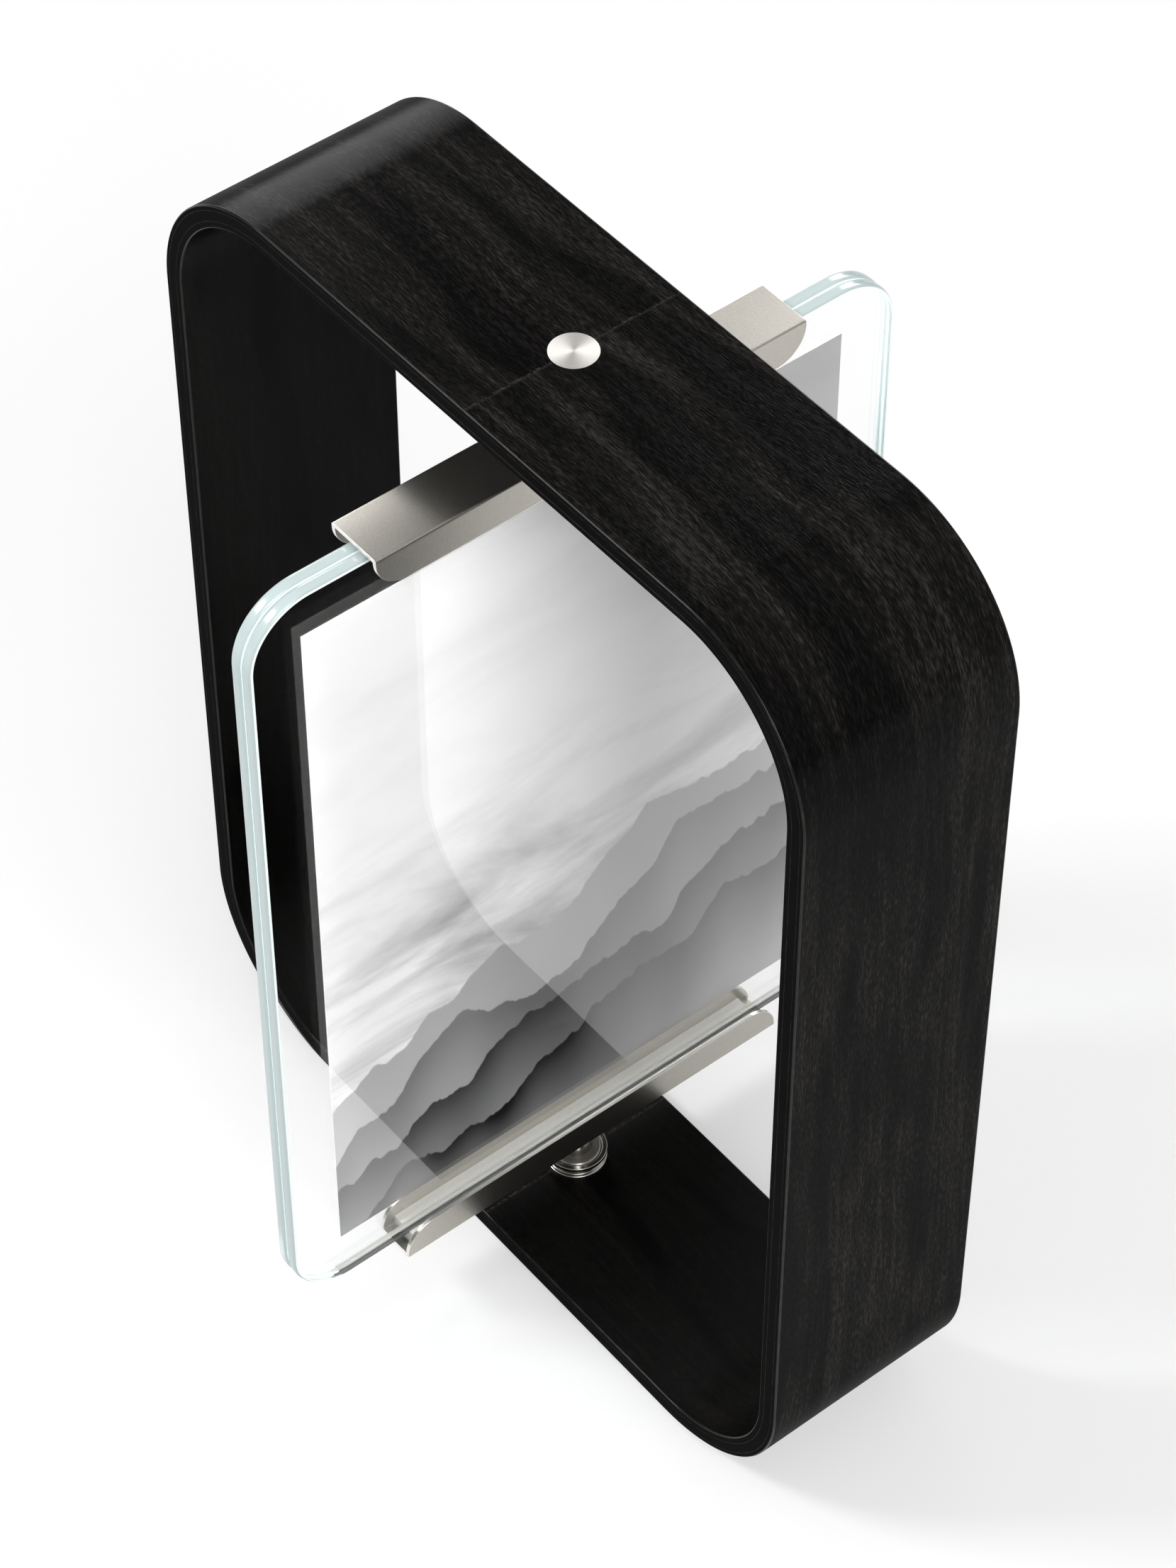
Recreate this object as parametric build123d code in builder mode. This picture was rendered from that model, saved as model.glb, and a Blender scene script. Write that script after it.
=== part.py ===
from build123d import *
import os

# Swivelling glass photo frame: a bentwood loop that carries two sliding panes on an upright pivot.
# Millimetres, +Z up. The origin is on the table, under the pivot axis. The loop opens along Y, and
# the glass stands across it with its picture facing +X.
os.makedirs("parts", exist_ok=True)

# The print, and the clear borders of glass that frame it
print_width = 127.0
print_height = 178.0
print_thickness = 0.2
side_border = 12.5
end_border = 11.85

# Panes, one on each side of the print
pane_thickness = 2.8
pane_corner_radius = 14.0
pane_chamfer = 0.3

# Bentwood loop. Its height and width follow from the panes and what carries them.
loop_depth = 50.0
loop_corner_radius = 33.5
outer_ply = 1.1
core_ply = 2.2
inner_ply = 1.5
core_lap = 14.0
arris_chamfer = 0.4

# Felt pads under the base
pad_diameter = 10.0
pad_thickness = 0.8
pad_margin = 4.0

# Pivot pieces, the same at both ends
cap_diameter = 9.6
cap_thickness = 1.0
flange_diameter = 13.4
flange_thickness = 3.4
shoulder_diameter = 5.0
head_diameter = 7.2
head_thickness = 1.3
socket_width = 2.5
socket_depth = 0.9
thread_diameter = 3.5
thread_length = 6.0
washer_diameter = 10.0
washer_thickness = 0.6
barrel_diameter = 7.0
barrel_length = 8.0
stub_diameter = 5.2
rivet_diameter = 6.6
rivet_height = 0.6
turned_chamfer = 0.25

# Folded channels and the grooved strips in them
channel_length = 100.0
channel_width = 13.0
channel_wall = 0.9
flange_height = 8.0
flange_corner_radius = 7.0
bend_radius = 0.5
strip_base = 1.3
groove_depth = 1.0
strip_inset = 3.0

# Clearances
running_clearance = 0.05
fixed_clearance = 0.03
head_clearance = 0.15
thread_end_gap = 0.5
groove_clearance = 0.05
pane_play = 0.3
swing_clearance = 13.2
overrun = 5.0

# Depths from the loop's outer face, at either end
loop_wall = outer_ply + core_ply + inner_ply
washer_depth = loop_wall + flange_thickness
barrel_depth = washer_depth + washer_thickness
web_depth = barrel_depth + barrel_length
strip_depth = web_depth + channel_wall
pane_depth = strip_depth + strip_base

# The print sizes the panes, and the panes size the loop round them
pane_width = print_width + 2 * side_border
pane_height = print_height + 2 * end_border
stack_thickness = 2 * pane_thickness + print_thickness
loop_width = pane_width + 2 * (swing_clearance + loop_wall)
loop_height = pane_height + pane_play + 2 * pane_depth
loop_middle = pad_thickness + loop_height / 2
pane_middle = pad_thickness + pane_depth + pane_height / 2


def save(piece, label):
    piece.part.label = label
    export_step(piece.part, f"parts/{label}.step")


# Felt pads, near the corners of the base's flat
pad_x = loop_width / 2 - loop_corner_radius - pad_diameter / 2 - pad_margin
pad_y = loop_depth / 2 - pad_diameter / 2 - pad_margin
with BuildPart() as felt_pads:
    with BuildSketch():
        with GridLocations(2 * pad_x, 2 * pad_y, 2, 2):
            Circle(pad_diameter / 2)
    extrude(amount=pad_thickness)
save(felt_pads, "felt_pads")


def loop_ring(inset, mode=Mode.ADD):
    """The loop's outline, drawn in by the inset."""
    width = loop_width - 2 * inset
    height = loop_height - 2 * inset
    RectangleRounded(width, height, loop_corner_radius - inset, mode=mode)


# The loop is two U-shaped halves of three plies. The core joint is set off from the face joints.
core_inset = outer_ply
inner_inset = outer_ply + core_ply
plies = {
    "outer_ply": (0, core_inset, 0),
    "core_ply": (core_inset, inner_inset, core_lap),
    "inner_ply": (inner_inset, loop_wall, 0),
}
for half, kept in (("left", Keep.BOTTOM), ("right", Keep.TOP)):
    for name, (outside, inside, seam) in plies.items():
        with BuildPart() as ply:
            with BuildSketch(Plane.XZ):
                with Locations((0, loop_middle)):
                    loop_ring(outside)
                    loop_ring(inside, mode=Mode.SUBTRACT)
            extrude(amount=loop_depth / 2, both=True)
            faces = ply.faces().filter_by(Axis.Y)
            if name == "outer_ply":
                chamfer([edge for face in faces for edge in face.outer_wire().edges()], arris_chamfer)
            if name == "inner_ply":
                chamfer([edge for face in faces for edge in face.inner_wires().edges()], arris_chamfer)
            split(bisect_by=Plane.YZ.offset(seam), keep=kept)
            with Locations((0, 0, loop_middle)):
                Cylinder(cap_diameter / 2, loop_height + overrun, mode=Mode.SUBTRACT)
        save(ply, f"{half}_{name}")


def turned_step(radius, depth, length, mode=Mode.ADD):
    """One cylinder of a turned piece, in the section through the pivot axis."""
    with Locations((0, depth)):
        Rectangle(radius, length, align=(Align.MIN, Align.MIN), mode=mode)


def flat_bar(width, depth, height, mode=Mode.ADD):
    """One bar of an end's section, centred on the pivot axis."""
    with Locations((0, depth)):
        Rectangle(width, height, align=(Align.CENTER, Align.MIN), mode=mode)


# Each end is drawn from the loop's outer face inwards: its section's Y is the depth
sections = {
    "lower": Plane(origin=(0, 0, pad_thickness), x_dir=(1, 0, 0), z_dir=(0, -1, 0)),
    "upper": Plane(origin=(0, 0, pad_thickness + loop_height), x_dir=(1, 0, 0), z_dir=(0, 1, 0)),
}
for end, section in sections.items():
    inwards = section.y_dir
    outer_face = Plane(origin=section.origin, x_dir=(1, 0, 0), z_dir=inwards)
    elevation = Plane(origin=section.origin, x_dir=(0, 1, 0), z_dir=(inwards.Z, 0, 0))

    # Flush disc that closes the pivot hole
    with BuildPart() as cap:
        with BuildSketch(section):
            turned_step(cap_diameter / 2 - fixed_clearance, 0, cap_thickness)
        revolve(axis=Axis.Z)
    save(cap, f"{end}_cap")

    # Flanged bush, pressed into the loop from inside and counterbored for the screw head
    with BuildPart() as bush:
        with BuildSketch(section):
            spigot_length = loop_wall - cap_thickness
            turned_step(cap_diameter / 2 - fixed_clearance, cap_thickness, spigot_length)
            turned_step(flange_diameter / 2, loop_wall, flange_thickness)
            bore_radius = shoulder_diameter / 2 + running_clearance
            turned_step(bore_radius, cap_thickness, spigot_length + flange_thickness, mode=Mode.SUBTRACT)
            recess_radius = head_diameter / 2 + head_clearance
            recess_length = head_thickness + 2 * head_clearance
            turned_step(recess_radius, cap_thickness, recess_length, mode=Mode.SUBTRACT)
        revolve(axis=Axis.Z)
        flange_rims = bush.edges().filter_by(GeomType.CIRCLE).sort_by(SortBy.RADIUS)[-2:]
        chamfer(flange_rims, turned_chamfer)
    save(bush, f"{end}_bush")

    # Shoulder screw that turns in the bush and threads into the barrel
    head_depth = cap_thickness + head_clearance
    shoulder_depth = head_depth + head_thickness
    with BuildPart() as pivot_screw:
        with BuildSketch(section):
            turned_step(head_diameter / 2, head_depth, head_thickness)
            turned_step(shoulder_diameter / 2, shoulder_depth, barrel_depth - shoulder_depth)
            turned_step(thread_diameter / 2, barrel_depth, thread_length)
        revolve(axis=Axis.Z)
        with BuildSketch(outer_face.offset(head_depth)):
            RegularPolygon(socket_width / 2, 6, major_radius=False)
        extrude(amount=socket_depth, mode=Mode.SUBTRACT)
    save(pivot_screw, f"{end}_pivot_screw")

    # Thrust washer between the bush and the barrel
    with BuildPart() as washer:
        with BuildSketch(outer_face.offset(washer_depth)):
            Circle(washer_diameter / 2)
            Circle(shoulder_diameter / 2 + running_clearance, mode=Mode.SUBTRACT)
        extrude(amount=washer_thickness)
    save(washer, f"{end}_washer")

    # Threaded barrel, riveted through the channel's web
    with BuildPart() as barrel:
        with BuildSketch(section):
            turned_step(barrel_diameter / 2, barrel_depth, barrel_length)
            turned_step(stub_diameter / 2 - fixed_clearance, web_depth, channel_wall)
            turned_step(rivet_diameter / 2, strip_depth, rivet_height)
            thread_hole = thread_length + thread_end_gap
            turned_step(thread_diameter / 2 + fixed_clearance, barrel_depth, thread_hole, mode=Mode.SUBTRACT)
        revolve(axis=Axis.Z)
    save(barrel, f"{end}_barrel")

    # Folded channel with round-cornered flanges
    inner_width = channel_width - 2 * channel_wall
    with BuildPart() as channel:
        with BuildSketch(section) as fold:
            flat_bar(channel_width, web_depth, flange_height)
            flat_bar(inner_width, strip_depth, flange_height - channel_wall, mode=Mode.SUBTRACT)
            bends = fold.vertices().sort_by(Axis.Y)[:2]
            fillet(bends, bend_radius)
        extrude(amount=channel_length / 2, both=True)
        with BuildSketch(elevation) as outline:
            flat_bar(channel_length, web_depth, flange_height)
            corners = outline.vertices().sort_by(Axis.Y)[-2:]
            fillet(corners, min(flange_corner_radius, flange_height - channel_wall))
        extrude(amount=channel_width / 2, both=True, mode=Mode.INTERSECT)
        with BuildSketch(outer_face.offset(web_depth)):
            Circle(stub_diameter / 2)
        extrude(amount=channel_wall, mode=Mode.SUBTRACT)
    save(channel, f"{end}_channel")

    # Grooved strip that seats the panes and lets them slide
    with BuildPart() as strip:
        with BuildSketch(section):
            flat_bar(inner_width, strip_depth, strip_base + groove_depth)
            groove_width = stack_thickness + 2 * groove_clearance
            flat_bar(groove_width, pane_depth, groove_depth, mode=Mode.SUBTRACT)
        extrude(amount=channel_length / 2 - strip_inset, both=True)
        with BuildSketch(outer_face.offset(strip_depth)):
            Circle(rivet_diameter / 2 + fixed_clearance)
        extrude(amount=strip_base, mode=Mode.SUBTRACT)
    save(strip, f"{end}_strip")


# Panes, one on each side of the print, standing in the lower groove with play above them
for name, facing in (("front", 1), ("rear", -1)):
    with BuildPart() as pane:
        with BuildSketch(Plane.YZ.offset(facing * print_thickness / 2)):
            with Locations((0, pane_middle)):
                RectangleRounded(pane_width, pane_height, pane_corner_radius)
        extrude(amount=facing * pane_thickness)
        chamfer(pane.faces().filter_by(Axis.X).edges(), pane_chamfer)
    save(pane, f"{name}_glass")

with BuildPart() as photo_print:
    with BuildSketch(Plane.YZ):
        with Locations((0, pane_middle)):
            Rectangle(print_width, print_height)
    extrude(amount=print_thickness / 2, both=True)
save(photo_print, "photo_print")
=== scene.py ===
import bmesh
import bpy
import math
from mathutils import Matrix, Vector


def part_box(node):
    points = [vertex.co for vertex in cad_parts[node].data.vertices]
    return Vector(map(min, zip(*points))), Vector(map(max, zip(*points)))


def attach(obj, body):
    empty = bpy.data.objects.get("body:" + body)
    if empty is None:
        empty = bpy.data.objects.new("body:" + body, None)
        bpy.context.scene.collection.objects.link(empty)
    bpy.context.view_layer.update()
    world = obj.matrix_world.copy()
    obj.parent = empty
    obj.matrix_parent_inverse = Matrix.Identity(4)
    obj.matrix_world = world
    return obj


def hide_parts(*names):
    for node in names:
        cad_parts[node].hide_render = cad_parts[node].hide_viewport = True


# Swivelling glass photo frame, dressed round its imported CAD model. Metres, in the CAD model's frame.
# The pieces' sizes are millimetres, and mm turns them into Blender's metres. The studio's
# lengths are metres.
mm = 0.001
mixA, mixB = 6, 7  # the colour inputs of a Mix node

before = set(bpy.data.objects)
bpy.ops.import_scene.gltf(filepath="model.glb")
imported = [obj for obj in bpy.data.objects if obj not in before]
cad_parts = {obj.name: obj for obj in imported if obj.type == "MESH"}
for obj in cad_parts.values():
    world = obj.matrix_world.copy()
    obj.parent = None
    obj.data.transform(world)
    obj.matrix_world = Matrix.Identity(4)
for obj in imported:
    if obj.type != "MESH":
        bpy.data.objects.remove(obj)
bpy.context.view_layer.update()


def addNode(tree, kind, inputs=None, **settings):
    # Adds one node. An input is a value, a socket, or a node whose first live output is linked.
    node = tree.nodes.new(kind)
    for name, value in settings.items():
        setattr(node, name, value)
    for key, value in (inputs or {}).items():
        if isinstance(value, bpy.types.Node):
            value = next(socket for socket in value.outputs if socket.enabled)
        if isinstance(value, bpy.types.NodeSocket):
            tree.links.new(value, node.inputs[key])
        else:
            node.inputs[key].default_value = value
    return node


def colour(hexText):
    # sRGB hex to Blender's linear RGBA
    parts = [int(hexText[i:i + 2], 16) / 255 for i in (1, 3, 5)]
    return [c / 12.92 if c <= 0.04045 else ((c + 0.055) / 1.055) ** 2.4 for c in parts] + [1.0]


def newMaterial(name):
    material = bpy.data.materials.new(name)
    material.use_nodes = True
    material.node_tree.nodes.clear()
    return material


def addPiece(name, mesh):
    piece = bpy.data.objects.new(name, mesh)
    bpy.context.scene.collection.objects.link(piece)
    return piece


# Materials

# Charcoal-stained oak. Pairs of sizes are along and across the grain.
veneer = {
    "pore": "#050505", "ground": "#100f0e", "pale": "#2a2826", "smoke": "#7c7c80",
    "wander": (110, 34), "wanderBy": 7.0,  # slow drift of the grain
    # each pattern's cell along and across, its detail, and its share in the tone. The figure has no
    # share, and only places the smoke.
    "patterns": {"pores": (2.0, 0.3, 6.0, 0.5), "fibre": (16, 1.0, 3.0, 0.28),
                 "bands": (90, 6, 2.0, 0.22), "figure": (70, 10, 3.0, 0.0)},
    "tones": (0.4, 0.5, 0.62),  # of the open pores, the ground and the pale wood
    "smoky": (0.53, 0.65), "smokiest": 0.85, "fray": 0.16,  # the fibres fray the smoke's outline
    "roughness": (0.34, 0.24), "glossTones": (0.4, 0.6), "relief": 0.05,
    "coat": 0.12, "coatRoughness": 0.14,
}
# A darker, duller copy for the loop's inside faces: its darker tones are painted shade inside the loop
shadedInnerVeneer = dict(veneer, ground="#090908", pale="#141211", smoky=(0.64, 0.76), relief=0.006,
                   coat=0.11, coatRoughness=0.36)
# The two halves' joint, with paler wood where its lips are chipped. Chips run from shallow to deep
# over these tones, and wear says how pale the wood is at either.
wornJoint = {"colour": "#3c3834", "width": 0.45, "wobble": 1.3, "chip": 0.909, "chips": (0.4, 0.62),
             "wear": (0.05, 0.6)}


def makeVeneer(name, wood):
    # Stained open-grain wood veneer under a thin satin oil: charcoal with smoky figure, short pores
    # along the grain, and a soft sheen that breaks up over them
    material = newMaterial(name)
    tree = material.node_tree
    grain = addNode(tree, "ShaderNodeUVMap", uv_map="grain")
    inMm = addNode(tree, "ShaderNodeVectorMath", {0: grain, "Scale": 1 / mm}, operation="SCALE")
    long, wide = wood["wander"]
    drifting = addNode(tree, "ShaderNodeMapping", {"Vector": inMm, "Scale": (1 / long, 1 / wide, 1)})
    drift = addNode(tree, "ShaderNodeTexNoise", {"Vector": drifting, "Scale": 1.0, "Detail": 1.0})
    shift = addNode(tree, "ShaderNodeMapRange",
                    {"Value": drift, "To Min": -wood["wanderBy"], "To Max": wood["wanderBy"]})
    sideways = addNode(tree, "ShaderNodeCombineXYZ", {"Y": shift})
    wavy = addNode(tree, "ShaderNodeVectorMath", {0: inMm, 1: sideways}, operation="ADD")

    # Pores, fibres and growth bands add up to one tone, from the open pores to the pale wood
    patterns = {}
    tone = 0.0
    for pattern, (long, wide, detail, share) in wood["patterns"].items():
        cells = addNode(tree, "ShaderNodeMapping", {"Vector": wavy, "Scale": (1 / long, 1 / wide, 1)})
        patterns[pattern] = addNode(tree, "ShaderNodeTexNoise",
                                    {"Vector": cells, "Scale": 1.0, "Detail": detail})
        tone = addNode(tree, "ShaderNodeMath", {0: patterns[pattern], 1: share, 2: tone},
                       operation="MULTIPLY_ADD")
    darkest, middling, palest = wood["tones"]
    lower = addNode(tree, "ShaderNodeMapRange",
                    {"Value": tone, "From Min": darkest, "From Max": middling})
    upper = addNode(tree, "ShaderNodeMapRange",
                    {"Value": tone, "From Min": middling, "From Max": palest})
    stained = addNode(tree, "ShaderNodeMix",
                      {0: lower, mixA: colour(wood["pore"]), mixB: colour(wood["ground"])},
                      data_type="RGBA")
    streaked = addNode(tree, "ShaderNodeMix", {0: upper, mixA: stained, mixB: colour(wood["pale"])},
                       data_type="RGBA")
    frayed = addNode(tree, "ShaderNodeMath",
                     {0: patterns["fibre"], 1: wood["fray"], 2: patterns["figure"]},
                     operation="MULTIPLY_ADD")
    thin, thick = wood["smoky"]
    smoke = addNode(tree, "ShaderNodeMapRange",
                    {"Value": frayed, "From Min": thin, "From Max": thick, "To Max": wood["smokiest"]},
                    interpolation_type="SMOOTHSTEP")
    smoked = addNode(tree, "ShaderNodeMix", {0: smoke, mixA: streaked, mixB: colour(wood["smoke"])},
                     data_type="RGBA", blend_type="MULTIPLY")

    # The joint runs across the middle of the top and the base
    place = addNode(tree, "ShaderNodeTexCoord")
    apart = addNode(tree, "ShaderNodeSeparateXYZ", {0: place.outputs["Object"]})
    chips = addNode(tree, "ShaderNodeTexNoise",
                    {"Vector": place.outputs["Object"], "Scale": 1 / (wornJoint["chip"] * mm),
                     "Detail": 3.0})
    wobble = addNode(tree, "ShaderNodeMath", {0: chips, 1: 0.5}, operation="SUBTRACT")
    line = addNode(tree, "ShaderNodeMath",
                   {0: wobble, 1: wornJoint["wobble"] * mm, 2: apart.outputs["X"]},
                   operation="MULTIPLY_ADD")
    offJoint = addNode(tree, "ShaderNodeMath", {0: line}, operation="ABSOLUTE")
    (shallow, deep), (faint, strong) = wornJoint["chips"], wornJoint["wear"]
    chipped = addNode(tree, "ShaderNodeMapRange",
                      {"Value": chips, "From Min": shallow, "From Max": deep, "To Min": faint,
                       "To Max": strong})
    worn = addNode(tree, "ShaderNodeMapRange",
                   {"Value": offJoint, "From Max": wornJoint["width"] * mm, "To Min": chipped,
                    "To Max": 0.0})
    finished = addNode(tree, "ShaderNodeMix",
                       {0: worn, mixA: smoked, mixB: colour(wornJoint["colour"])}, data_type="RGBA")

    (dull, glossy), (dullest, glossiest) = wood["glossTones"], wood["roughness"]
    rough = addNode(tree, "ShaderNodeMapRange",
                    {"Value": tone, "From Min": dull, "From Max": glossy, "To Min": dullest,
                     "To Max": glossiest})
    bump = addNode(tree, "ShaderNodeBump",
                   {"Height": patterns["pores"], "Distance": wood["relief"] * mm})
    shader = addNode(tree, "ShaderNodeBsdfPrincipled",
                     {"Base Color": finished, "Roughness": rough, "Normal": bump, "Coat Normal": bump,
                      "Specular IOR Level": 0.0, "Coat Weight": wood["coat"],
                      "Coat Roughness": wood["coatRoughness"]})
    addNode(tree, "ShaderNodeOutputMaterial", {"Surface": shader})
    return material


plyEdge = {"colour": "#0b0b0b", "worn": "#121111", "cloud": 16.67,
           "glue": "#2b2826", "glueAt": (1.1, 3.3), "glueWidth": 0.1, "glueSpecks": (0.3, 0.7),
           "speck": 1.25, "roughness": 0.55, "specular": 0.004, "relief": 0.02}


def makePlyEdge():
    # Cut edge of the laminated wood, sanded, sealed and painted black: smooth and even, with the
    # glue lines just telling between the layers
    material = newMaterial("blackSealedPlyEdge")
    tree = material.node_tree
    edge = addNode(tree, "ShaderNodeUVMap", uv_map="edge")
    parts = addNode(tree, "ShaderNodeSeparateXYZ", {0: edge})
    place = addNode(tree, "ShaderNodeTexCoord")
    fine = addNode(tree, "ShaderNodeTexNoise",
                   {"Vector": place.outputs["Object"], "Scale": 1 / (plyEdge["speck"] * mm),
                    "Detail": 3.0})
    bare, full = plyEdge["glueSpecks"]
    ragged = addNode(tree, "ShaderNodeMapRange",
                     {"Value": fine, "From Min": bare, "From Max": full,
                      "To Max": plyEdge["glueWidth"] * mm})
    lines = 0.0
    for depth in plyEdge["glueAt"]:
        near = addNode(tree, "ShaderNodeMath", {0: parts.outputs["Y"], 1: depth * mm, 2: ragged},
                       operation="COMPARE")
        lines = addNode(tree, "ShaderNodeMath", {0: near, 1: lines}, operation="MAXIMUM")
    cloud = addNode(tree, "ShaderNodeTexNoise",
                    {"Vector": place.outputs["Object"], "Scale": 1 / (plyEdge["cloud"] * mm),
                     "Detail": 3.0})
    body = addNode(tree, "ShaderNodeMix",
                   {0: cloud, mixA: colour(plyEdge["colour"]), mixB: colour(plyEdge["worn"])},
                   data_type="RGBA")
    finished = addNode(tree, "ShaderNodeMix", {0: lines, mixA: body, mixB: colour(plyEdge["glue"])},
                       data_type="RGBA")
    bump = addNode(tree, "ShaderNodeBump", {"Height": fine, "Distance": plyEdge["relief"] * mm})
    shader = addNode(tree, "ShaderNodeBsdfPrincipled",
                     {"Base Color": finished, "Roughness": plyEdge["roughness"], "Normal": bump,
                      "Specular IOR Level": plyEdge["specular"]})
    addNode(tree, "ShaderNodeOutputMaterial", {"Surface": shader})
    return material


loopArris = {"dark": "#080807", "rubbed": "#1d1b19", "rub": 2.857, "rubs": (0.45, 0.7),
             "roughness": 0.3, "relief": 0.01, "specular": 0.2}


def makeArris():
    # The loop's rounded corners, rubbed smooth: a thin glossy line where the light runs along them
    material = newMaterial("rubbedBlackArris")
    tree = material.node_tree
    place = addNode(tree, "ShaderNodeTexCoord")
    rub = addNode(tree, "ShaderNodeTexNoise",
                  {"Vector": place.outputs["Object"], "Scale": 1 / (loopArris["rub"] * mm),
                   "Detail": 4.0})
    start, full = loopArris["rubs"]
    worn = addNode(tree, "ShaderNodeMapRange", {"Value": rub, "From Min": start, "From Max": full})
    tone = addNode(tree, "ShaderNodeMix",
                   {0: worn, mixA: colour(loopArris["dark"]), mixB: colour(loopArris["rubbed"])},
                   data_type="RGBA")
    bump = addNode(tree, "ShaderNodeBump", {"Height": rub, "Distance": loopArris["relief"] * mm})
    shader = addNode(tree, "ShaderNodeBsdfPrincipled",
                     {"Base Color": tone, "Roughness": loopArris["roughness"], "Normal": bump,
                      "Specular IOR Level": loopArris["specular"]})
    addNode(tree, "ShaderNodeOutputMaterial", {"Surface": shader})
    return material


# Real grit and tool marks are finer than 0.1 mm, and here they are as coarse as they need to show
satinNickel = {"dark": "#aeaaa2", "light": "#cac6be", "grit": 0.3, "roughness": (0.27, 0.31),
               "relief": 0.01}  # sheet, blasted: satin, with a slight sparkle from the grains
rimNickelPaintedHighlight = {"dark": "#dedbd6", "light": "#f0eeea", "grit": 0.5, "roughness": (0.28, 0.34),
             "relief": 0.004}  # rims and cut ends, polished, and paler as a painted highlight: a bright line round the sheet
turnedNickel = {"dark": "#b4b0a8", "light": "#cdc9c1", "grit": 0.4, "roughness": (0.14, 0.2),
                "relief": 0.003}  # turned and not blasted: crisp reflections
spunNickel = {"dark": "#cfccc7", "light": "#e0ddd8", "ring": 0.3, "roughness": 0.32, "relief": 0.002,
              "anisotropy": 0.55, "anisotropyTurn": 0.25}  # a quarter turn, across the rings


def makeMetal(name, settings):
    # Nickel-plated metal, its tone, gloss and relief slightly uneven from the finishing
    material = newMaterial(name)
    tree = material.node_tree
    place = addNode(tree, "ShaderNodeTexCoord")
    grit = addNode(tree, "ShaderNodeTexNoise",
                   {"Vector": place.outputs["Object"], "Scale": 1 / (settings["grit"] * mm),
                    "Detail": 1.0})
    tone = addNode(tree, "ShaderNodeMix",
                   {0: grit, mixA: colour(settings["dark"]), mixB: colour(settings["light"])},
                   data_type="RGBA")
    smoothest, roughest = settings["roughness"]
    rough = addNode(tree, "ShaderNodeMapRange",
                    {"Value": grit, "To Min": smoothest, "To Max": roughest})
    bump = addNode(tree, "ShaderNodeBump", {"Height": grit, "Distance": settings["relief"] * mm})
    shader = addNode(tree, "ShaderNodeBsdfPrincipled",
                     {"Base Color": tone, "Metallic": 1.0, "Roughness": rough, "Normal": bump})
    addNode(tree, "ShaderNodeOutputMaterial", {"Surface": shader})
    return material


def makeSpunNickel():
    # Nickel disc faced on a lathe: fine rings from the tool throw the light into a bow-tie
    material = newMaterial("spunNickel")
    tree = material.node_tree
    place = addNode(tree, "ShaderNodeTexCoord")
    flat = addNode(tree, "ShaderNodeVectorMath", {0: place.outputs["Object"], 1: (1, 1, 0)},
                   operation="MULTIPLY")
    radius = addNode(tree, "ShaderNodeVectorMath", {0: flat}, operation="LENGTH")
    outward = addNode(tree, "ShaderNodeMath",
                      {0: radius.outputs["Value"], 1: 1 / (spunNickel["ring"] * mm)},
                      operation="MULTIPLY")
    rings = addNode(tree, "ShaderNodeTexNoise", {"W": outward, "Scale": 1.0, "Detail": 2.0},
                    noise_dimensions="1D")
    tone = addNode(tree, "ShaderNodeMix",
                   {0: rings, mixA: colour(spunNickel["dark"]), mixB: colour(spunNickel["light"])},
                   data_type="RGBA")
    bump = addNode(tree, "ShaderNodeBump", {"Height": rings, "Distance": spunNickel["relief"] * mm})
    around = addNode(tree, "ShaderNodeTangent", direction_type="RADIAL", axis="Z")
    shader = addNode(tree, "ShaderNodeBsdfPrincipled",
                     {"Base Color": tone, "Metallic": 1.0, "Roughness": spunNickel["roughness"],
                      "Anisotropic": spunNickel["anisotropy"],
                      "Anisotropic Rotation": spunNickel["anisotropyTurn"],
                      "Tangent": around, "Normal": bump})
    addNode(tree, "ShaderNodeOutputMaterial", {"Surface": shader})
    return material


sodaLimeIor = 1.52
paneGlass = {"tint": "#ffffff", "clear": 1.0, "roughness": 0.0, "shadow": "#f9f9f9"}
# the edge is polished and gathers a pale blue-green light, with a milky ground band on each side
edgeGlass = {"tint": "#d4e3e3", "clear": 0.4, "roughness": 0.16, "shadow": "#dbeaea"}
groundGlass = {"tint": "#eaf2f2", "clear": 0.15, "roughness": 0.5, "shadow": "#dbeaea"}
# left as it was sawn: grey and nearly opaque
footGlass = {"tint": "#a4a5a0", "clear": 0.1, "roughness": 0.5, "shadow": "#dbeaea"}
# The front foot's near-black tint is painted shade
footGlassPaintedShade = dict(footGlass, tint="#1e1e1d")  # its strip's lip keeps it in the dark


def makeGlass(name, settings):
    # Low-iron soda-lime glass. Lamps pass straight through it, so that what it shuts in stays lit.
    material = newMaterial(name)
    tree = material.node_tree
    glass = addNode(tree, "ShaderNodeBsdfPrincipled",
                    {"Base Color": colour(settings["tint"]), "Transmission Weight": settings["clear"],
                     "Roughness": settings["roughness"], "IOR": sodaLimeIor})
    through = addNode(tree, "ShaderNodeBsdfTransparent", {"Color": colour(settings["shadow"])})
    path = addNode(tree, "ShaderNodeLightPath")
    shader = addNode(tree, "ShaderNodeMixShader",
                     {0: path.outputs["Is Shadow Ray"], 1: glass, 2: through})
    addNode(tree, "ShaderNodeOutputMaterial", {"Surface": shader})
    return material


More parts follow.
